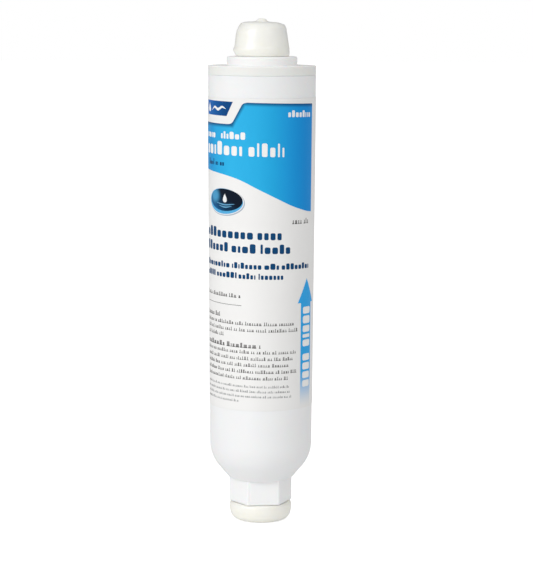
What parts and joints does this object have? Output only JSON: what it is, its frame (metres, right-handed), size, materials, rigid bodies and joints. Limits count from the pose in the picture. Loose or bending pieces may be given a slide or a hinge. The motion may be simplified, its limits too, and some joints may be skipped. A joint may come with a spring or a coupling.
{
  "type": "inline water filter",
  "caption": "Upright cylindrical inline hose water filter with a hexagonal female inlet, a male threaded outlet, soft dust closures and a wrap label.",
  "frame": {"origin": "centre of the flat base of the inlet dust plug, which is the centre of the bottom of the bounding box", "axes": "+Z along the canister's axis, in the direction of flow from the inlet to the outlet; -Y is the front of the label"},
  "size_m": [0.0638, 0.0638, 0.3],
  "materials": {
    "housing": "satin",
    "end_cap": "satin",
    "dust_cap": "satin",
    "dust_plug": "satin",
    "label": "gloss",
    "label_blue": "gloss",
    "label_ink": "gloss",
    "washer_rubber": "matte",
    "plate_plastic": "satin",
    "fiber_felt": "matte",
    "foam": "matte",
    "carbon": "matte"
  },
  "bodies": {
    "canister": {"housing": "housing", "outlet_end_cap": "end_cap", "label": "label", "inlet_hose_washer": "washer_rubber", "inlet_retainer_plate": "plate_plastic", "inlet_fiber_pad": "fiber_felt", "carbon_bed": "carbon", "outlet_fiber_pad": "fiber_felt", "bed_foam_pad": "foam", "outlet_retainer_plate": "plate_plastic"},
    "dust_cap": {"outlet_dust_cap": "dust_cap"},
    "dust_plug": {"inlet_dust_plug": "dust_plug"}
  },
  "joints": [
    {"name": "outlet_cap_pull", "type": "slide", "parent": "canister", "child": "dust_cap", "axis": [0, 0, 1], "range_m": [0, 0.03]},
    {"name": "inlet_plug_pull", "type": "slide", "parent": "canister", "child": "dust_plug", "axis": [0, 0, -1], "range_m": [0, 0.025]}
  ]
}
